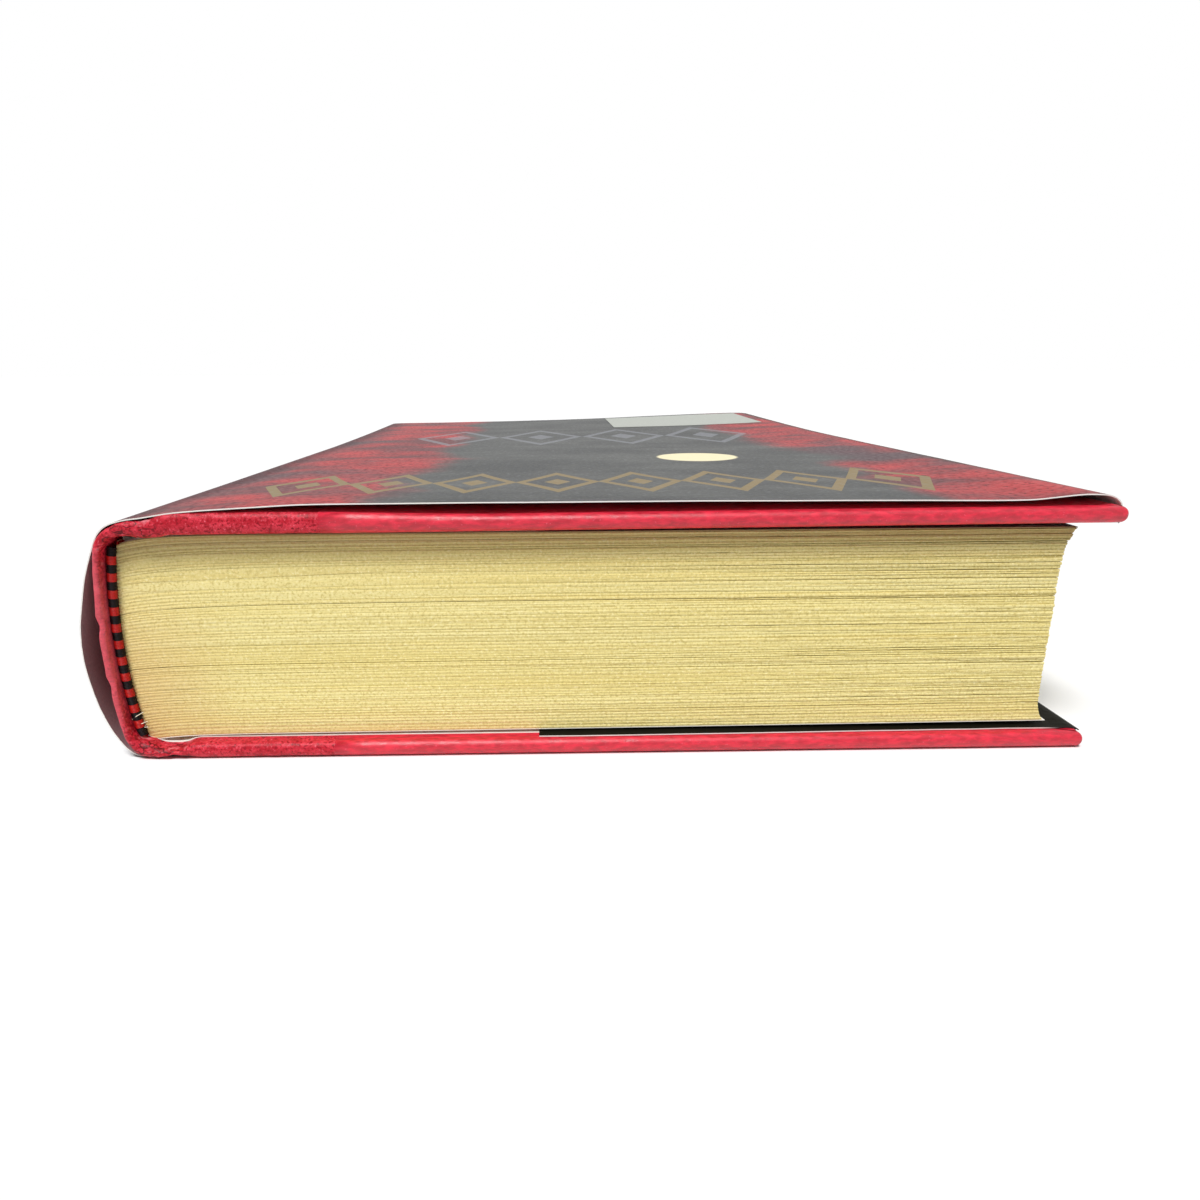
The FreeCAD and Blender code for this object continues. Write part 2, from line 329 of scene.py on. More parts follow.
leaves_mesh = bmesh.new()
leaf_places = []
for index in range(len(packets) - 1):
    circle = bmesh.ops.create_circle(leaves_mesh, cap_ends=True, segments=ring, radius=1.0)
    rings = [circle["verts"]]
    face = circle["verts"][0].link_faces[0]
    for _ in range(2):
        grown = bmesh.ops.extrude_face_region(leaves_mesh, geom=[face])["geom"]
        new_verts = [item for item in grown if isinstance(item, bmesh.types.BMVert)]
        face = [item for item in grown if isinstance(item, bmesh.types.BMFace)][0]
        rings.append(new_verts)
    for level, verts in enumerate(rings):
        for vert in verts:
            turn = math.atan2(vert.co.y, vert.co.x) / (2 * math.pi) % 1.0
            across, along = leaf_edge(round(turn * ring) % ring)
            surface = index + (level > 1)
            share = packets[index] + (packets[index + 1] - packets[index]) * level / 2
            inset = packet_round if level != 1 else 0.0
            z_spine = leaf_level(0, share)
            low_x = spine_x(z_spine) + inset
            high_x = fore_x(leaf_level(leaf_width, share)) + 0.08 * juts[index] - 0.3 * inset
            y = tail_y + inset + (head_y - tail_y - 2 * inset) * along
            x = low_x + (high_x - low_x) * across
            open_share = closed_share + (1 - closed_share) * smooth_step(40, 150, x)
            ragged = ragged_depth * wander(x * 0.35, y * 0.35, index * 7.3) * open_share
            if along in (0.0, 1.0):
                outward = -1 if along == 0.0 else 1
                y += outward * (juts[index] * (0.25 + 0.75 * open_share) + ragged)
            if across == 1.0:
                x += 0.5 * ragged
            z = leaf_level(x, share)
            edge_wave = broad_wave * wander(x * 0.13, y * 0.13, surface * 3.1) * open_share
            edge_wave += fine_wave * wander(x * 0.8, y * 0.8, surface * 5.7) * open_share
            if 0 < surface < len(packets) - 1 or level == 1:
                z += edge_wave
            part = gaps[surface] * open_share / 2
            if surface in parted:
                part = parting_gap
            z += part if level == 0 else -part if level == 2 else 0.0
            vert.co = spot(x, y, z)
            leaf_places.append((x * mm, y * mm, share * (top_z - bottom_z) * mm))
leaves_mesh.verts.index_update()

leaf_paper = Finish("cream_leaves", tone(238, 224, 168), 0.85, 0.15)
at_leaf = leaf_paper.stored("leaf")
leaf_x, leaf_y, leaf_z = leaf_paper.parts(at_leaf)
cockle = leaf_paper.noise(leaf_paper.stretch(at_leaf, (520, 520, 900)), 1.0, 2.0, 0.6)
wavy_z = leaf_paper.sum("ADD", leaf_z, leaf_paper.times(cockle, 0.0005))
wavy = leaf_paper.node("CombineXYZ", {0: leaf_x, 1: leaf_y, 2: wavy_z})
fine = leaf_paper.noise(leaf_paper.stretch(wavy, (9, 9, 4300)), 1.0, 2.0, 0.6)
broad = leaf_paper.noise(leaf_paper.stretch(at_leaf, (9, 9, 500)), 1.0, 3.0, 0.6)
grain = leaf_paper.noise(leaf_paper.place(), 2300, 3.0, 0.65)
cream = leaf_paper.mix(leaf_paper.ramp(broad, 0.3, 0.7), tone(228, 212, 140), tone(234, 222, 158))
opened = leaf_paper.sum("MULTIPLY_ADD", leaf_paper.ramp(leaf_x, 0.01, 0.12), 0.75, 0.25)
lines = leaf_paper.times(leaf_paper.ramp(fine, 0.49, 0.30), opened)
cream = leaf_paper.mix(lines, cream, tone(188, 168, 98))
cream = leaf_paper.mix(leaf_paper.ramp(grain, 0.50, 0.66), cream, tone(207, 190, 121))
cream = leaf_paper.mix(leaf_paper.ramp(grain, 0.44, 0.33), cream, tone(239, 228, 172))
# Tan tint, strongest near the spine and towards the bottom of the block.
tan_near_spine = leaf_paper.ramp(leaf_x, 0.022, 0.0)
tan_near_spine = leaf_paper.times(tan_near_spine, leaf_paper.ramp(leaf_z, 0.034, 0.004))
cream = leaf_paper.mix(leaf_paper.times(tan_near_spine, 0.55), cream, tone(212, 172, 116))
# Painted shadow: the top few mm of the leaves, under the cover, are darkened.
painted_cover_shadow = leaf_paper.times(leaf_paper.ramp(leaf_z, 0.0280, 0.0350), 0.62)
cream = leaf_paper.mix(painted_cover_shadow, cream, tone(160, 142, 92))
leaf_paper.colour(cream)
low_relief = leaf_paper.relief(fine, 0.00012, leaf_paper.times(opened, 0.7))
leaf_paper.normal(leaf_paper.relief(grain, 0.00012, 0.5, low_relief))

leaves = piece("leaves", leaves_mesh, [leaf_paper.material], smooth=False)
keep_rest(leaves.data, "leaf", leaf_places)
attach(leaves, "text_block")
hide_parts("page_block")

# Torn fibres: three slivers of the cream paper. They have come away from the edge of a leaf
# and stand out beside the tail band, held at one end.
sliver_paper = Finish("paper_sliver", tone(246, 240, 216), 0.8, 0.2)
tooth = sliver_paper.noise(sliver_paper.place(), 2600, 3.0, 0.6)
sliver_paper.colour(sliver_paper.mix(tooth, tone(236, 226, 196), tone(250, 246, 230)))
sliver_radius = 0.09
slivers = bpy.data.curves.new("paper_slivers", "CURVE")
slivers.dimensions = "3D"
slivers.bevel_depth = sliver_radius * mm
slivers.bevel_resolution = 1
slivers.materials.append(sliver_paper.material)
for points in (
    ((1.1, 3.1, 6.6), (0.2, 2.4, 6.3), (-0.1, 2.0, 6.7), (0.9, 1.7, 7.4), (2.0, 1.9, 8.0)),
    ((1.3, 3.1, 5.9), (0.6, 2.2, 5.6), (1.5, 2.0, 5.9), (2.3, 2.2, 6.2)),
    ((1.5, 3.1, 5.2), (1.2, 2.4, 5.0), (2.2, 2.3, 5.1)),
):
    strand = slivers.splines.new("POLY")
    strand.points.add(len(points) - 1)
    for number, (x, y, z) in enumerate(points):
        strand.points[number].co = (*spot(x, y, z), 1.0)
        strand.points[number].radius = 1.2 - 0.8 * number / len(points)
fibres_piece = bpy.data.objects.new("paper_slivers", slivers)
scene.collection.objects.link(fibres_piece)
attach(fibres_piece, "text_block")

# Head and tail bands: red and black thread wound round a cord, on a tape that is glued to
# the spine of the leaves before the mull.
bead_gap = 0.5
thread_radius = 0.13
winding_radius = 0.6
stripe_turns = 6
band_end = 16.3
band_middle = middle_z - 0.6
points_a_turn = 14
cord_set_back = 0.6
tape_gap = 0.2
tape_thickness = 0.18
tape_start = 0.4
tape_length = 12
arc_columns = 24
thread_reds = Finish("red_thread", tone(176, 20, 18), 0.45, 0.4)
twist = thread_reds.noise(thread_reds.place(), 3500, 2.0)
thread_reds.colour(thread_reds.mix(twist, tone(140, 6, 8), tone(226, 28, 22)))
thread_reds.normal(thread_reds.relief(twist, 0.00005))
thread_blacks = Finish("black_thread", tone(20, 8, 12), 0.5, 0.2)
twist = thread_blacks.noise(thread_blacks.place(), 3500, 2.0)
thread_blacks.colour(thread_blacks.mix(twist, tone(6, 3, 5), tone(26, 12, 15)))
thread_blacks.normal(thread_blacks.relief(twist, 0.00005))


def wound_band(name, end_y, inward, node):
    """Stripes of thread wound on the cord along the rounded spine."""
    data = bpy.data.curves.new(name, "CURVE")
    data.dimensions = "3D"
    data.bevel_depth = thread_radius * mm
    data.bevel_resolution = 1
    data.materials.append(thread_blacks.material)
    data.materials.append(thread_reds.material)
    arc_radius = spine_radius + bead_gap
    first_turn = math.asin((band_middle - band_end - middle_z) / arc_radius)
    last_turn = math.asin((band_middle + band_end - middle_z) / arc_radius)
    turns = round((last_turn - first_turn) * arc_radius / (1.9 * thread_radius))
    stripes = turns // stripe_turns // 2 * 2 + 1
    for stripe in range(stripes):
        spline = data.splines.new("POLY")
        count = stripe_turns * points_a_turn + 1
        spline.points.add(count - 1)
        spline.material_index = stripe % 2
        for number in range(count):
            turn = stripe * stripe_turns + number / points_a_turn
            along = first_turn + (last_turn - first_turn) * turn / (stripes * stripe_turns)
            around = 2 * math.pi * turn
            reach = winding_radius * (1 + 0.05 * wander(turn * 0.9, 3.0))
            radius = arc_radius + reach * math.cos(around)
            x = spine_radius - radius * math.cos(along)
            z = middle_z + radius * math.sin(along)
            y = end_y + inward * (reach * math.sin(around) - cord_set_back)
            spline.points[number].co = (*spot(x, y, z), 1.0)
    made = bpy.data.objects.new(name, data)
    scene.collection.objects.link(made)
    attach(made, "text_block")
    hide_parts(node)


wound_band("tail_band_thread", tail_y, 1, "tail_band")
wound_band("head_band_thread", head_y, -1, "head_band")

sharp_angle = math.radians(50)


def sheet(name, columns, rows, place, thickness, facing, materials):
    """Thin sheet: a grid put in place point by point, then thickened away from its face."""
    bm = bmesh.new()
    bmesh.ops.create_grid(bm, x_segments=columns, y_segments=rows, size=0.5)
    bm.verts.ensure_lookup_table()
    marks = []
    for vert in bm.verts:
        column = round((vert.co.x + 0.5) * columns)
        row = round((vert.co.y + 0.5) * rows)
        vert.co, mark = place(column, row)
        marks.append(mark)
    bm.normal_update()
    bm.faces.ensure_lookup_table()
    middle = bm.faces[columns * (rows // 2) + columns // 2]
    if middle.normal.dot(Vector(facing)) < 0:
        bmesh.ops.reverse_faces(bm, faces=bm.faces)
    made = piece(name, bm, materials)
    keep_rest(made.data, "flat", marks)
    thick = made.modifiers.new("thickness", "SOLIDIFY")
    thick.thickness = thickness * mm
    thick.offset = -1
    if len(materials) > 1:
        thick.material_offset = 1
        thick.material_offset_rim = 2
    settled = made.evaluated_get(bpy.context.evaluated_depsgraph_get())
    final = bpy.data.meshes.new_from_object(settled)
    made.modifiers.clear()
    made.data = final
    final.name = name
    final.set_sharp_from_angle(angle=sharp_angle)
    return made


def band_tape(name, start_y, end_y, node):
    """Tape of the band, glued to the spine of the leaves."""
    def place(column, row):
        z = middle_z - band_end + 2 * band_end * column / arc_columns
        y = start_y + (end_y - start_y) * row / 2
        point = spot(spine_x(z, tape_gap), y, z)
        return point, point

    made = sheet(name, arc_columns, 2, place, tape_thickness, (-1, 0, 0), [thread_reds.material])
    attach(made, "text_block")
    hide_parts(node)


band_tape("tail_band_tape", tail_y + tape_start, tail_y + tape_length, "tail_band")
band_tape("head_band_tape", head_y - tape_start, head_y - tape_length, "head_band")

# Spine of the leaves and grey boards: gauze mull and kraft paper glued over the spine, a thin
# strip of board in the case's spine, and the two boards of the covers.
gauze = Finish("gauze", tone(226, 220, 204), 0.9, 0.1)
threads = gauze.stretch(gauze.place(), (4200, 4200, 4200))
_, weave_y, weave_z = gauze.parts(threads)
mesh_height = gauze.sum("MAXIMUM", gauze.sum("SINE", weave_y), gauze.sum("SINE", weave_z))
gauze.colour(gauze.mix(gauze.ramp(mesh_height, -0.2, 0.7), tone(150, 130, 96), tone(232, 226, 210)))
gauze.normal(gauze.relief(mesh_height, 0.00012))
kraft = Finish("kraft_paper", tone(196, 174, 144), 0.8, 0.2)
fibres = kraft.noise(kraft.stretch(kraft.place(), (900, 250, 900)), 1.0, 4.0, 0.7)
kraft.colour(kraft.mix(kraft.ramp(fibres, 0.3, 0.7), tone(168, 142, 108), tone(206, 184, 152)))
kraft.normal(kraft.relief(fibres, 0.00005))
grey_board = Finish("grey_board", tone(182, 178, 170), 0.9, 0.1)
fibres = grey_board.noise(grey_board.place(), 1600, 4.0, 0.7)
grey_board.colour(grey_board.mix(grey_board.ramp(fibres, 0.3, 0.7), tone(150, 144, 134),
                                 tone(196, 192, 184)))
grey_board.normal(grey_board.relief(fibres, 0.0001))


def dress(finish, *nodes):
    """Give a finish to pieces whose shape stays as it is."""
    for node in nodes:
        slots = frame["nodes"][node].data.materials
        slots.clear()
        slots.append(finish.material)


dress(gauze, "mull", "front_mull_wing", "back_mull_wing")
dress(kraft, "spine_lining")
dress(grey_board, "front_board", "back_board")
inlay_end = 16.0
inlay_inset = 1.3
inlay_gap = 2.05
inlay_thickness = 0.7


def inlay_place(column, row):
    z = middle_z - inlay_end + 2 * inlay_end * column / arc_columns
    y = inlay_inset + (case_height - 2 * inlay_inset) * row / 2
    point = spot(spine_x(z, inlay_gap), y, z)
    return point, point


inlay = sheet("spine_board", arc_columns, 2, inlay_place, inlay_thickness, (-1, 0, 0),
              [grey_board.material])
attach(inlay, "text_block")
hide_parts("spine_inlay")

# Quarter strip: one sheet of grained rose-red covering over the spine and 24 mm onto each
# board, turned in over head and tail. It bends at both joints, so it is laid in two halves.
hinge = Vector(frame["joints"][0]["pos_m"])
gape = math.radians(0.25)
hinge_x = (hinge.x - origin.x) / mm
cloth_gap = 2.35
inner_gap = 1.22
turn_in = 15.0


def gaped(x):
    """Rise of the front cover, which rests a little open, at a distance from the spine."""
    return math.tan(gape) * max(x - hinge_x, 0.0)


def flat(x, z):
    return Vector((x, 0.0, z))


def smooth_line(points, steps, before=None):
    """Curve through the points, cut into the given number of steps between each two."""
    ends = [before or points[0] * 2 - points[1]] + points + [points[-1] * 2 - points[-2]]
    line = []
    for span, count in enumerate(steps):
        a, b, c, d = ends[span:span + 4]
        t1 = max((b - a).length, 0.01) ** 0.5
        t2 = t1 + max((c - b).length, 0.01) ** 0.5
        t3 = t2 + max((d - c).length, 0.01) ** 0.5
        for step in range(count):
            t = t1 + (t2 - t1) * step / count
            ab = a.lerp(b, t / t1)
            bc = b.lerp(c, (t - t1) / (t2 - t1))
            cd = c.lerp(d, (t - t2) / (t3 - t2))
            abc = ab.lerp(bc, t / t2)
            bcd = bc.lerp(cd, (t - t1) / (t3 - t1))
            line.append(abc.lerp(bcd, (t - t1) / (t2 - t1)))
    line.append(points[-1].copy())
    return line


def lengths(line):
    """Distance along a line of each of its points."""
    total = [0.0]
    for first, second in zip(line, line[1:]):
        total.append(total[-1] + (second - first).length)
    return total


def strip_line(side, gap, rises, points):
    """Half section of the strip: up or down the rounded spine, then through the points."""
    heights = [middle_z + side * rise for rise in rises]
    return [flat(spine_x(z, gap), z) for z in heights] + [flat(x, z) for x, z in points]


strip_steps = [10, 10, 8, 5, 5, 5, 5, 5, 5, 5, 6, 8, 8]
front_outer = strip_line(1, cloth_gap, (0, 8, 16), (
    (-0.45, 37.65), (0.35, 38.6), (1.6, 39.6), (4.0, 40.45), (5.6, 40.1), (6.9, 39.85),
    (8.3, 40.0), (9.5, 40.5), (11.0, 40.84), (22.0, 40.89), (34.6, 40.94)))
front_inner = strip_line(1, inner_gap, (0, 8, 15.6), (
    (0.6, 36.8), (1.1, 37.5), (1.9, 38.0), (4.0, 38.22), (5.6, 38.24), (6.9, 38.26),
    (8.3, 38.27), (9.5, 38.28), (11.0, 38.29), (22.0, 38.34), (34.6, 38.39)))
back_outer = strip_line(-1, cloth_gap, (0, 8, 16), (
    (-0.62, 3.0), (0.05, 1.6), (1.25, 0.5), (4.0, 0.32), (5.6, 0.55), (6.9, 0.85),
    (8.3, 0.75), (9.5, 0.4), (11.0, 0.2), (22.0, 0.2), (34.0, 0.2)))
back_inner = strip_line(-1, inner_gap, (0, 8, 15.6), (
    (0.6, 4.2), (1.1, 3.5), (1.9, 3.0), (4.0, 2.78), (5.6, 2.76), (6.9, 2.75),
    (8.3, 2.75), (9.5, 2.75), (11.0, 2.75), (22.0, 2.75), (34.0, 2.75)))
strip_thickness = 0.22
edge_radius = 1.25
edge_squareness = 0.8
swell_height = 0.95
swell_length = 30
dip_depth = 1.05
dip_place = 6.3
dip_half_width = 2.9
dip_length = 8.0
hang_depth = 0.4
hang_place = 7.6
hang_half_width = 2.4
spine_creases = ((24.3, 0.30), (14.0, 0.26))
crease_half_width = 1.3
crease_pull = 0.32
wrinkle_place = 6.0
wrinkle_half_width = 3.4
wrinkle_length = 3.0
pucker_size = 0.34
ridge_size = 0.85
strip_wave = 0.035
strip_edge_wave = 0.05


def swell(x, y):
    """Extra height of the front cover's outside where the turned-in cloth is bulky at the tail."""
    across = smooth_step(3, 10, x) * (1 - smooth_step(22, 64, x))
    return swell_height * across * math.exp(-((y / swell_length) ** 2))


def joint_dip(x, y):
    """Depth by which the lining of the back joint sags below the board's inside at the tail."""
    across = math.exp(-((x - dip_place) / dip_half_width) ** 4)
    return dip_depth * across * math.exp(-((y / dip_length) ** 2))


turn_rows = 5
round_rows = 10
face_rows = 74
strip_rows = 2 * (turn_rows + round_rows) + face_rows
row_crowding = 0.06


def edge_profile(row, depth):
    """Distance from the case's tail edge and share of the depth, for a row of a turned-in sheet."""
    from_end = min(row, strip_rows - row)
    radius = min(depth / 2, edge_radius)
    if from_end <= turn_rows:
        y = turn_in + (radius - turn_in) * from_end / turn_rows
        share = 1.0
    elif from_end <= turn_rows + round_rows:
        angle = math.pi * (1 - (from_end - turn_rows) / round_rows)
        y = radius - radius * math.sin(angle) ** edge_squareness
        share = (1 - math.cos(angle)) / 2
    else:
        along = (row - turn_rows - round_rows) / face_rows
        eased = along - row_crowding * math.sin(2 * math.pi * along)
        return radius + (case_height - 2 * radius) * eased, 0.0
    return (y, share) if row < strip_rows / 2 else (case_height - y, share)


def quarter_half(name, outer_points, inner_points, side):
    """Half of the strip, from the middle of the spine to its edge on a board."""
    outer = smooth_line(outer_points, strip_steps)
    inner = smooth_line(inner_points, strip_steps)
    along = lengths(outer)

    def place(column, row):
        face = outer[column].copy()
        if side > 0:
            face.z += swell(face.x, 0.0)
        y, share = edge_profile(row, (face - inner[column]).length)
        if side > 0:
            face.z = outer[column].z + swell(face.x, y)
        lowered = inner[column].copy()
        if side < 0:
            lowered.z -= joint_dip(lowered.x, y)
        else:
            hang = hang_depth * math.exp(-((lowered.x - hang_place) / hang_half_width) ** 4)
            lowered.z -= hang * (1 - smooth_step(1.4, 2.9, y))
        point = face.lerp(lowered, share)
        out = (outer[column] - inner[column]).normalized()
        to_edge = min(y, case_height - y)
        joint = math.exp(-((outer[column].x - wrinkle_place) / wrinkle_half_width) ** 2)
        near_edge = math.exp(-to_edge / wrinkle_length)
        s = along[column]
        pucker = wander(s * 0.55 + y * 0.35, y * 0.45, side * 9.0)
        ridge = 0.28 - abs(wander(s * 0.42 - y * 0.5, y * 0.3 + 4.0, side * 3.0))
        wrinkle = (pucker_size * pucker + ridge_size * ridge) * joint * near_edge
        wrinkle += strip_wave * wander(s * 0.25, y * 0.12, side * 5.0)
        wrinkle += strip_edge_wave * wander(s * 0.9, y * 0.5, side * 2.0) * near_edge
        for level, size in spine_creases:
            off = (outer[column].z - level) / crease_half_width
            if outer[column].x < 0.5:
                crease = math.exp(-off ** 2) * math.exp(-y / wrinkle_length)
                wrinkle += size * crease * off * 2.0
                y += crease_pull * crease
        bite = 0.0 if share == 1.0 else 1.0
        point = point + out * wrinkle * bite
        point.y = y + 0.06 * wander(s * 0.4, 8.0, side) * (1 if to_edge < 3 else 0)
        made = spot(point.x, point.y, point.z)
        return made, made

    return sheet(name, len(outer) - 1, strip_rows, place, strip_thickness, (0, 0, side),
                 [rose.material])


rose = Finish("rose_covering", tone(206, 50, 70), 0.5, 0.2)
at_rose = rose.stored("flat")
leather = rose.noise(at_rose, 2300, 3.0, 0.65)
patches = rose.noise(rose.stretch(at_rose, (500, 700, 900)), 1.0, 4.0, 0.6)
shade = rose.mix(rose.ramp(patches, 0.34, 0.68), tone(174, 20, 38), tone(214, 52, 70))
shade = rose.mix(rose.ramp(leather, 0.49, 0.36), shade, tone(134, 10, 26))
shade = rose.mix(rose.ramp(leather, 0.57, 0.74), shade, tone(222, 100, 116))
rose_x, rose_y, _ = rose.parts(at_rose)
# Painted light: the strip is paler over the spine, where the lamp leaves it in shade.
painted_spine_light = rose.times(rose.ramp(rose_x, origin.x, origin.x - 1.2 * mm), 0.5)
shade = rose.mix(painted_spine_light, shade, tone(222, 104, 116))
# Painted shade in the valleys of the creases and a painted highlight on their crests, near the joints
# at the tail.
from_joint = rose.apart(rose_x, origin.x + 4.5 * mm)
painted_crease_zone = rose.times(rose.ramp(from_joint, 6.5 * mm, 3 * mm),
                     rose.ramp(rose_y, origin.y + 5 * mm, origin.y + 1.5 * mm))
folds = rose.noise(rose.stretch(at_rose, (330, 520, 640)), 1.0, 2.0, 0.5)
painted_crease_shade = rose.ramp(rose.apart(folds, 0.5), 0.045, 0.0)
shade = rose.mix(rose.times(painted_crease_zone, painted_crease_shade), shade, tone(92, 6, 18))
painted_crease_highlight = rose.times(rose.ramp(folds, 0.58, 0.70), 0.6)
shade = rose.mix(rose.times(painted_crease_zone, painted_crease_highlight), shade, tone(238, 146, 156))
rose.colour(shade)
rose.rough(rose.ramp(leather, -0.9, 2.2))
fold_relief = rose.relief(patches, 0.0003, 0.5)
rose.normal(rose.relief(leather, 0.0001, 0.6, fold_relief))

front_quarter = quarter_half("front_quarter", front_outer, front_inner, 1)
back_quarter = quarter_half("back_quarter", back_outer, back_inner, -1)
for strip, cover, side, pieces in (
    (front_quarter, "front_cover", 1, ("front_quarter_strip", "front_joint_cloth", "spine_cloth")),
    (back_quarter, "back_cover", -1, ("back_quarter_strip", "back_joint_cloth", "spine_cloth")),
):
    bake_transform(strip)
    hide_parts(*pieces)

# Side papers: smooth red paper with a satin finish over the rest of each board, turned in
# over three edges. It laps the quarter strip by a hair.
satin = Finish("side_paper", tone(210, 22, 56), 0.45, 0.65)
at_satin = satin.place()
cloudy = satin.noise(satin.stretch(at_satin, (500, 1500, 1500)), 1.0, 4.0, 0.6)
pores = satin.noise(at_satin, 3200, 2.0, 0.5)
red = satin.mix(satin.ramp(cloudy, 0.3, 0.72), tone(176, 8, 38), tone(224, 30, 60))
red = satin.mix(satin.ramp(pores, 0.66, 0.8), red, tone(222, 90, 112))
satin.colour(red)
satin.rough(satin.ramp(cloudy, -0.8, 1.9))
satin_relief = satin.relief(cloudy, 0.00014, 0.6)
satin.normal(satin.relief(pores, 0.00006, 0.5, satin_relief))
lap = 0.05
seam_x = 33.8
front_slip = 0.65
cover_edge_x = (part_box("back_side_paper")[1].x - origin.x) / mm
inner_z = 38.25
outer_z = 40.8
corner_radius = 0.9
rim_radius = 1.22
side_thickness = 0.25


def side_paper(name, side, cover, node):
    """Rounded board covering, open at the seam, where it laps the quarter strip."""
    low = Vector((0.0, 0.0, inner_z if side > 0 else 2 * middle_z - outer_z))
    high = Vector((cover_edge_x, case_height, outer_z if side > 0 else 2 * middle_z - inner_z))
    low.z -= lap
    high.z += lap
    bm = bmesh.new()
    bmesh.ops.create_cube(bm, size=1.0)
    size = high - low
    for vert in bm.verts:
        share = vert.co + Vector((0.5, 0.5, 0.5))
        vert.co = low + Vector((share.x * size.x, share.y * size.y, share.z * size.z))
    upright = [edge for edge in bm.edges
               if abs(edge.verts[0].co.z - edge.verts[1].co.z) > 1 and edge.verts[0].co.x > 1]
    bmesh.ops.bevel(bm, geom=upright, offset=corner_radius, segments=5, profile=0.5, affect="EDGES",
                    material=-1)
    rims = [edge for edge in bm.edges
            if abs(edge.verts[0].co.z - edge.verts[1].co.z) < 0.01
            and max(edge.verts[0].co.x, edge.verts[1].co.x) > 1]
    bmesh.ops.bevel(bm, geom=rims, offset=rim_radius, segments=7, profile=0.5, affect="EDGES",
                    material=-1)
    last_x = cover_edge_x - turn_in
    last_y = case_height - turn_in
    for axis, cuts in ((0, (seam_x, 39, 45, 52, 60, last_x)), (1, (6, turn_in, 24, 36, last_y))):
        for cut in cuts:
            at = Vector((cut, 0, 0)) if axis == 0 else Vector((0, cut, 0))
            bmesh.ops.bisect_plane(bm, geom=bm.verts[:] + bm.edges[:] + bm.faces[:], plane_co=at,
                                   plane_no=at.normalized(), clear_inner=cut == seam_x)
    bm.normal_update()
    opening = []
    for face in bm.faces:
        centre = face.calc_center_median()
        if face.normal.z * side < -0.9 and centre.x < last_x and turn_in < centre.y < last_y:
            opening.append(face)
    bmesh.ops.delete(bm, geom=opening, context="FACES_ONLY")
    if side > 0:
        for vert in bm.verts:
            vert.co.z += swell(vert.co.x, vert.co.y) * (vert.co.z - low.z) / size.z
        about = Vector((hinge_x, 0, hinge.z / mm))
        bmesh.ops.translate(bm, vec=(front_slip, 0, 0), verts=bm.verts)
        bmesh.ops.rotate(bm, cent=about, matrix=Matrix.Rotation(-gape, 3, "Y"), verts=bm.verts)
    for vert in bm.verts:
        vert.co = spot(*vert.co)
    made = piece(name, bm, [satin.material])
    thick = made.modifiers.new("thickness", "SOLIDIFY")
    thick.thickness = side_thickness * mm
    thick.offset = -1
    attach(made, cover)
    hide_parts(node)


side_paper("front_side", 1, "front_cover", "front_side_paper")
side_paper("back_side", -1, "back_cover", "back_side_paper")

# Endpapers: white paper pasted inside each cover and folded back as the first and last
# leaf. The fold stands a little open at the back joint.
white_paper = Finish("endpaper", tone(238, 236, 226), 0.8, 0.2)
tooth = white_paper.noise(white_paper.place(), 2600, 3.0, 0.6)
stain = white_paper.noise(white_paper.place(), 40, 3.0)
plain = white_paper.mix(white_paper.ramp(stain, 0.35, 0.75), tone(242, 240, 232), tone(228, 222, 204))
_, paper_y, paper_z = white_paper.parts(white_paper.place())
# Painted shadow of the cover: the tail edge of the first leaf at the top is darkened.
painted_edge_shadow = white_paper.ramp(paper_y, block_low.y + 0.9 * mm, block_low.y + 0.2 * mm)
painted_edge_shadow = white_paper.times(painted_edge_shadow, white_paper.ramp(paper_z, 0.030, 0.034))
white_paper.colour(white_paper.mix(painted_edge_shadow, plain, tone(150, 132, 92)))
white_paper.normal(white_paper.relief(tooth, 0.00004))
dress(white_paper, "front_pastedown")

leaf_thickness = 0.12
fold_thickness = 0.05
paper_columns = 60
paper_rows = 40
leaf_lift = 0.13
paper_first_x = 1.9
paper_last_x = 155.6
pasted_first_x = 3.2
pasted_last_x = 158.0
pasted_level = 2.88


def lay_paper(name, side, body, node, height, low_x, high_x):
    """Endpaper laid over a face of the block or the inside of a cover."""
    def place(column, row):
        x = low_x + (high_x - low_x) * (column / paper_columns) ** 1.8
        y = tail_y + (head_y - tail_y) * (row / paper_rows) ** 1.5
        made = spot(x, y, height(x, y))
        return made, made

    made = sheet(name, paper_columns, paper_rows, place, leaf_thickness, (0, 0, side),
                 [white_paper.material])
    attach(made, body)
    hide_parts(node)


lay_paper("front_first_leaf", 1, "text_block", "front_flyleaf",
          lambda x, y: leaf_level(x, 1.0) + leaf_lift, paper_first_x, paper_last_x)
lay_paper("back_last_leaf", -1, "text_block", "back_flyleaf",
          lambda x, y: leaf_level(x, 0.0) - leaf_lift, paper_first_x, paper_last_x)
lay_paper("back_pasted_leaf", 1, "back_cover", "back_pastedown",
          lambda x, y: pasted_level - joint_dip(x, y), pasted_first_x, pasted_last_x)


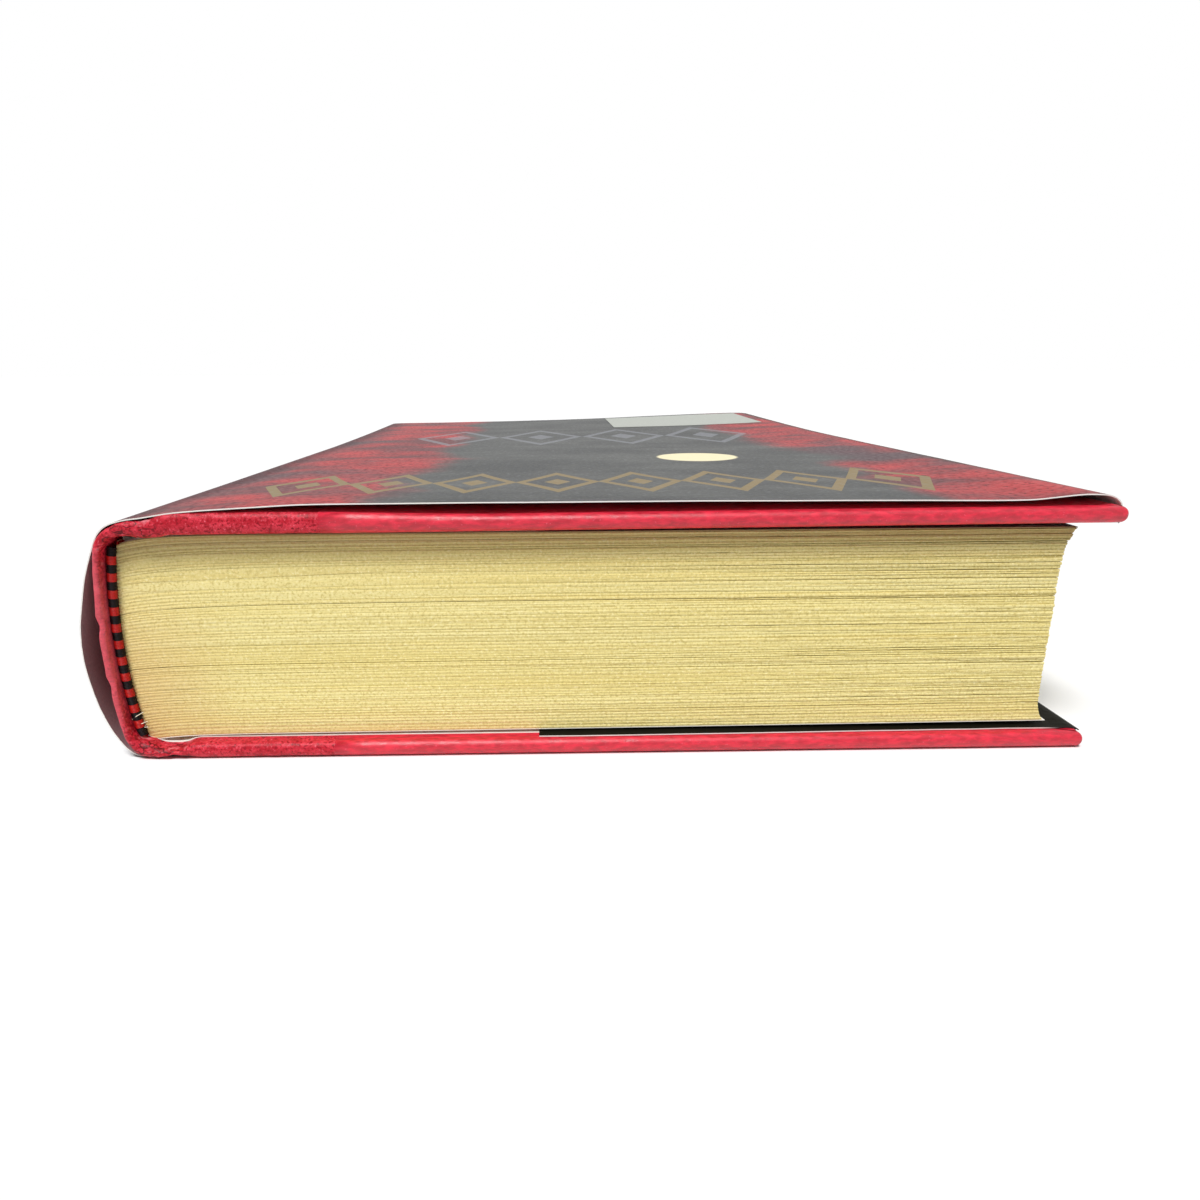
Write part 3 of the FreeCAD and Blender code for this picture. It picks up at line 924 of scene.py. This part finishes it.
def endpaper_fold(name, side):
    """Fold of the endpaper at a joint, from the board round to the first leaf."""
    share = 1.0 if side > 0 else 0.0
    sag = side * (middle_z - leaf_level(paper_first_x, share)) + 17.5
    levels = [(6.5, 17.66), (3.4, 17.64), (2.2, 17.6), (1.55, 17.3), (1.5, 17.42 - 0.7 * sag),
              (paper_first_x, 17.4 - sag)]
    points = [flat(x, middle_z + side * level) for x, level in levels]
    line = smooth_line(points, [6, 5, 5, 5, 5])

    def place(column, row):
        point = line[column]
        low_y = tail_y + (2.0 if side > 0 else 0.0)
        y = low_y + (head_y - low_y) * row / paper_rows
        dip = joint_dip(point.x, y) if side < 0 and column < 8 else 0.0
        made = spot(point.x, y, point.z - dip)
        return made, made

    made = sheet(name, len(line) - 1, paper_rows, place, fold_thickness, (0, 0, side),
                 [white_paper.material])
    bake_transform(made)


endpaper_fold("front_endpaper_fold", 1)
endpaper_fold("back_endpaper_fold", -1)

# Jacket: one printed and varnished sheet round the case, with a flap folded in round each
# board. It stands off the rounded spine, floats over the boards' tail edge and has sprung up
# at the far corner. The print is mottled fields of colour with simple gilt shapes.
jacket_thickness = 0.2
jacket_inset = 0.6
fold_pull = 1.9
front_flap_inset = 2.4
flap_first_x = 20
front_flap_top = 39.2
back_flap_bottom = 2.5
flap_level = 37.93
flap_places = (157.0, 130.0, 100.0, 68.3)


def panel_points(levels, fold):
    """Points of the front panel at x and height, then of the fold and the flap under the board."""
    points = [flat(x, z) for x, z in levels]
    points += [flat(x, z) for x, z in fold]
    points += [flat(x, flap_level + gaped(x)) for x in flap_places]
    return points


tail_points = panel_points(
    ((-5.62, 20.5), (-5.26, 23.6), (-4.6, 26.5), (-3.6, 30.6), (-2.44, 33.8), (-1.3, 36.5),
     (-0.15, 38.7), (1.4, 40.0), (4.0, 40.8), (7.0, 41.2), (12.2, 41.95), (25.4, 42.75),
     (32.0, 43.05), (55.0, 43.1), (90.0, 43.05), (125.0, 42.85), (146.0, 42.7), (150.5, 43.1),
     (154.8, 43.5), (158.2, 43.35)),
    ((160.8, 42.7), (162.1, 41.7), (162.3, 40.4), (162.0, 39.3), (160.5, 38.66)))
middle_points = panel_points(
    ((-5.62, 20.5), (-5.3, 23.6), (-4.75, 26.5), (-3.7, 30.6), (-2.5, 33.8), (-1.3, 36.5),
     (-0.15, 38.6), (1.4, 39.9), (4.0, 40.65), (7.0, 40.6), (12.2, 41.15), (25.4, 41.3),
     (32.0, 41.35), (55.0, 41.45), (90.0, 41.6), (125.0, 41.8), (146.0, 42.5), (150.5, 42.8),
     (154.8, 43.05), (158.2, 43.1)),
    ((160.8, 42.75), (162.1, 41.7), (162.2, 40.4), (161.9, 39.3), (160.5, 38.66)))
head_points = panel_points(
    ((-5.62, 20.5), (-5.3, 23.6), (-4.75, 26.5), (-3.7, 30.6), (-2.4, 34.2), (-1.5, 37.3),
     (-0.7, 39.4), (0.5, 40.9), (4.0, 41.3), (7.0, 41.35), (12.2, 41.4), (25.4, 41.5),
     (32.0, 41.6), (55.0, 41.9), (90.0, 42.7), (125.0, 44.0), (146.0, 44.65), (150.5, 44.75),
     (154.8, 44.8), (158.2, 44.7)),
    ((160.8, 44.2), (162.1, 42.9), (162.3, 41.0), (162.0, 39.5), (160.5, 38.66)))
jacket_steps = [4, 4, 5] + [4] * 6 + [5, 6, 4, 8, 9, 9, 6] + [4] * 9 + [6, 6, 6]


def front_line(share):
    """Section of the front half of the jacket at a share of the way from tail to head."""
    at_tail = (1 - smooth_step(0.0, 0.22, share))
    at_head = (max(share - 0.55, 0.0) / 0.45) ** 1.4
    points = []
    for tail, middle, head in zip(tail_points, middle_points, head_points):
        points.append(middle + (tail - middle) * at_tail + (head - middle) * at_head)
    return smooth_line(points, jacket_steps, flat(-5.66, 17.1))


back_points = [flat(x, z) for x, z in (
    (-5.62, 20.5), (-5.66, 17.1), (-5.27, 13.6), (-4.34, 9.1), (-3.2, 5.6), (-2.1, 3.3),
    (-0.9, 1.5), (0.6, 0.35), (4.0, 0.08), (8.0, 0.3), (12.0, 0.02), (60.0, 0.0), (110.0, 0.0),
    (157.0, 0.0), (159.9, 0.05), (161.25, 0.6), (161.48, 1.6), (161.2, 2.6), (159.9, 3.08),
    (157.0, 3.1), (130.0, 3.1), (100.0, 3.1), (68.3, 3.1))]
back_steps = [4, 4, 5, 5, 4, 4, 4, 5, 4, 5, 10, 10, 8, 4, 4, 4, 4, 4, 4, 5, 5, 5]
back_path = smooth_line(back_points, back_steps, flat(-5.3, 23.6))
jacket_rows = 96
front_lines = [front_line(row / jacket_rows) for row in range(jacket_rows + 1)]
front_lengths = [lengths(line) for line in front_lines]
back_lengths = lengths(back_path)


def jacket_y(x, z, share, side):
    """Place up the book of a point of the jacket: the sheet sits a little askew."""
    fold = smooth_step(156.5, 162, x)
    if side > 0:
        under = z < front_flap_top and x > flap_first_x
        skew = 0.5 * smooth_step(20, 150, x) + fold_pull * fold
        low = jacket_inset + (front_flap_inset if under else skew)
    else:
        under = z > back_flap_bottom and x > flap_first_x
        skew = 0.7 * smooth_step(-4.5, 4.0, x) + fold_pull * fold
        low = jacket_inset + (0.6 + 0.8 * smooth_step(68, 161, x) if under else skew)
    low += 0.10 * wander(x * 0.12 + z * 0.2, 4.0) + 0.05 * wander(x * 0.9 + z, 7.0)
    high = case_height - jacket_inset + 0.1 * wander(x * 0.12 + z * 0.2, 14.0)
    return low + (high - low) * share


def front_place(column, row):
    point = front_lines[row][column]
    share = row / jacket_rows
    y = jacket_y(point.x, point.z, share, 1)
    ripple = 0.05 * wander(point.x * 0.06, y * 0.05, 2.0) * smooth_step(12, 30, point.x)
    if point.z < front_flap_top and point.x > flap_first_x:
        ripple = 0.0
    return spot(point.x, y, point.z + ripple), (front_lengths[row][column] * mm, y * mm, 0.0)


def back_place(column, row):
    point = back_path[column]
    y = jacket_y(point.x, point.z, row / jacket_rows, -1)
    return spot(point.x, y, max(point.z, 0.0)), (-back_lengths[column] * mm, y * mm, 0.0)


field_middle_x = 0.108
disc_middle = (0.128, 0.080)
disc_radius = 0.010
printed = Finish("printed_jacket", tone(120, 30, 36), 0.45, 0.3)
at_print = printed.stored("flat")
print_x, print_y, _ = printed.parts(at_print)
brush = printed.noise(printed.stretch(at_print, (30, 55, 30)), 1.0, 5.0, 0.65)
blot = printed.noise(printed.stretch(at_print, (14, 20, 14)), 1.0, 4.0, 0.6)
speck = printed.noise(at_print, 900, 3.0, 0.6)
reds = printed.mix(printed.ramp(brush, 0.38, 0.62), tone(88, 12, 20), tone(176, 30, 34))
reds = printed.mix(printed.ramp(blot, 0.46, 0.62), reds, tone(66, 40, 46))
slate = printed.mix(printed.ramp(brush, 0.35, 0.7), tone(30, 33, 34), tone(72, 74, 72))
reds = printed.mix(printed.ramp(speck, 0.52, 0.70), reds, tone(52, 14, 22))
slate = printed.mix(printed.ramp(speck, 0.52, 0.70), slate, tone(92, 92, 86))
from_field = printed.apart(print_x, field_middle_x)
field = printed.sum("ADD", printed.times(printed.ramp(from_field, 0.066, 0.030), 0.55),
                    printed.times(blot, 0.9))
base = printed.mix(printed.ramp(field, 0.62, 0.86), reds, slate)
spine_dark = printed.ramp(printed.apart(print_x), 0.036, 0.020)
base = printed.mix(spine_dark, base, printed.mix(brush, tone(40, 24, 28), tone(92, 60, 64)))
flap_dark = printed.ramp(printed.apart(print_x), 0.176, 0.181)
base = printed.mix(flap_dark, base, printed.mix(brush, tone(14, 14, 9), tone(32, 30, 22)))
matte = printed.sum("MAXIMUM", spine_dark, flap_dark)


def motif_row(first_x, last_x, middle_y, half_height, pitch, weight):
    """Share of ink in a row of outlined diamonds with a small one in each."""
    wave = printed.sum("DIVIDE", printed.sum("SUBTRACT", print_x, first_x), pitch)
    across = printed.apart(printed.sum("FRACT", wave), 0.5)
    up = printed.apart(print_y, middle_y)
    reach = printed.sum("ADD", printed.times(across, 2.0), printed.sum("DIVIDE", up, half_height))
    line = printed.apart(reach, 0.9)
    ink = printed.sum("LESS_THAN", line, weight)
    ink = printed.sum("MAXIMUM", ink, printed.sum("LESS_THAN", reach, 0.32))
    inside = printed.times(printed.sum("GREATER_THAN", print_x, first_x),
                           printed.sum("LESS_THAN", print_x, last_x))
    return printed.times(ink, inside)


gold = motif_row(first_x=0.036, last_x=0.164, middle_y=0.031, half_height=0.019,
                 pitch=0.016, weight=0.13)
base = printed.mix(gold, base, printed.mix(speck, tone(92, 78, 46), tone(150, 128, 80)))
silver = motif_row(first_x=0.046, last_x=0.158, middle_y=0.150, half_height=0.030,
                   pitch=0.028, weight=0.10)
base = printed.mix(printed.times(silver, 0.6), base, tone(128, 130, 136))
disc_x = printed.sum("SUBTRACT", print_x, disc_middle[0])
disc_y = printed.sum("SUBTRACT", print_y, disc_middle[1])
disc = printed.sum("SQRT", printed.sum("ADD", printed.times(disc_x, disc_x),
                                       printed.times(disc_y, disc_y)))
disc_ink = printed.ramp(disc, disc_radius + 0.5 * mm, disc_radius - 0.5 * mm)
base = printed.mix(disc_ink, base, tone(250, 238, 196))
chips = printed.noise(printed.stretch(at_print, (330, 500, 330)), 1.0, 4.0, 0.7)
worn_edge = printed.ramp(print_y, 0.0021, 0.0007)
rubbed = printed.times(printed.ramp(printed.sum("ADD", chips, worn_edge), 1.28, 1.36),
                       printed.ramp(printed.apart(print_x), 0.026, 0.018))
base = printed.mix(rubbed, base, tone(232, 226, 220))
printed.colour(base)
printed.rough(printed.ramp(speck, -1.0, 2.0))
printed.put(printed.shader.inputs["Specular IOR Level"],
            printed.sum("MULTIPLY_ADD", matte, -0.25, 0.27))
printed.normal(printed.relief(speck, 0.00003, 0.6, printed.relief(gold, 0.00015, 0.6)))


def bare_paper(name, roughness, specular):
    """Unprinted jacket paper, with its grain, its colour and the place along the sheet."""
    made = Finish(name, tone(236, 234, 230), roughness, specular)
    at_paper = made.stored("flat")
    tooth = made.noise(at_paper, 2400, 3.0, 0.6)
    made.normal(made.relief(tooth, 0.00004))
    colour = made.mix(tooth, tone(220, 216, 210), tone(246, 244, 240))
    return made, tooth, colour, made.parts(at_paper)[0]


jacket_white, _, paper, edge_x = bare_paper("jacket_paper_edge", 0.7, 0.2)
# Painted shade: the paper edge of the back panel and its flap is dark, as in the shadow under the
# back board.
painted_rim_shade = jacket_white.times(jacket_white.ramp(edge_x, -0.019, -0.024),
                           jacket_white.ramp(edge_x, -0.192, -0.188))
jacket_white.colour(jacket_white.mix(painted_rim_shade, paper, tone(40, 34, 36)))
jacket_inside, tooth, paper, inside_x = bare_paper("jacket_inside", 0.8, 0.1)
# Painted shade: the inside of the jacket's spine is darkened, as in the deep narrow gap round the
# case's spine.
painted_cavity_shade = jacket_inside.ramp(jacket_inside.apart(inside_x), 0.030, 0.021)
cavity_shade_tone = jacket_inside.mix(tooth, tone(140, 118, 120), tone(168, 146, 148))
jacket_inside.colour(jacket_inside.mix(painted_cavity_shade, paper, cavity_shade_tone))
jacket_faces = [printed.material, jacket_inside.material, jacket_white.material]

front_jacket = sheet("jacket_front_half", len(front_lines[0]) - 1, jacket_rows, front_place,
                     jacket_thickness, (0, 0, 1), jacket_faces)
back_jacket = sheet("jacket_back_half", len(back_path) - 1, jacket_rows, back_place,
                    jacket_thickness, (0, 0, -1), jacket_faces)
for half, cover, side, pieces in (
    (front_jacket, "front_cover", 1, ("jacket_front", "front_joint_jacket", "jacket_spine")),
    (back_jacket, "back_cover", -1, ("jacket_back", "back_joint_jacket", "jacket_spine")),
):
    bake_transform(half)
    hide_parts(*pieces)

# Blank label: a plain pale paper sticker. It is stuck on the jacket's front near the head
# and the fore edge, and follows the lifted panel under it.
label_paper = Finish("label_paper", tone(204, 207, 200), 0.7, 0.1)
tooth = label_paper.noise(label_paper.place(), 1200, 3.0, 0.6)
label_paper.colour(label_paper.mix(tooth, tone(178, 181, 174), tone(200, 203, 196)))
label_paper.normal(label_paper.relief(tooth, 0.00004))
label_low, label_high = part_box("blank_label")
label_lift = 0.16
label_thickness = 0.1
label_columns = 40
label_rows = 16


def height_on(line, x):
    """Height of the panel at x on one section of the jacket."""
    for first, second in zip(line, line[1:]):
        if first.x <= x <= second.x and second.z > 39.5:
            return first.z + (second.z - first.z) * (x - first.x) / (second.x - first.x)
    return line[0].z


def label_place(column, row):
    x = (label_low.x - origin.x + (label_high.x - label_low.x) * column / label_columns) / mm
    y = (label_low.y - origin.y + (label_high.y - label_low.y) * row / label_rows) / mm
    share = (y - jacket_inset) / (case_height - 2 * jacket_inset)
    ripple = 0.05 * wander(x * 0.06, y * 0.05, 2.0)
    point = spot(x, y, height_on(front_line(share), x) + label_lift + ripple)
    return point, point


label = sheet("label", label_columns, label_rows, label_place, label_thickness, (0, 0, 1),
              [label_paper.material])
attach(label, "front_cover")
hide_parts("blank_label")
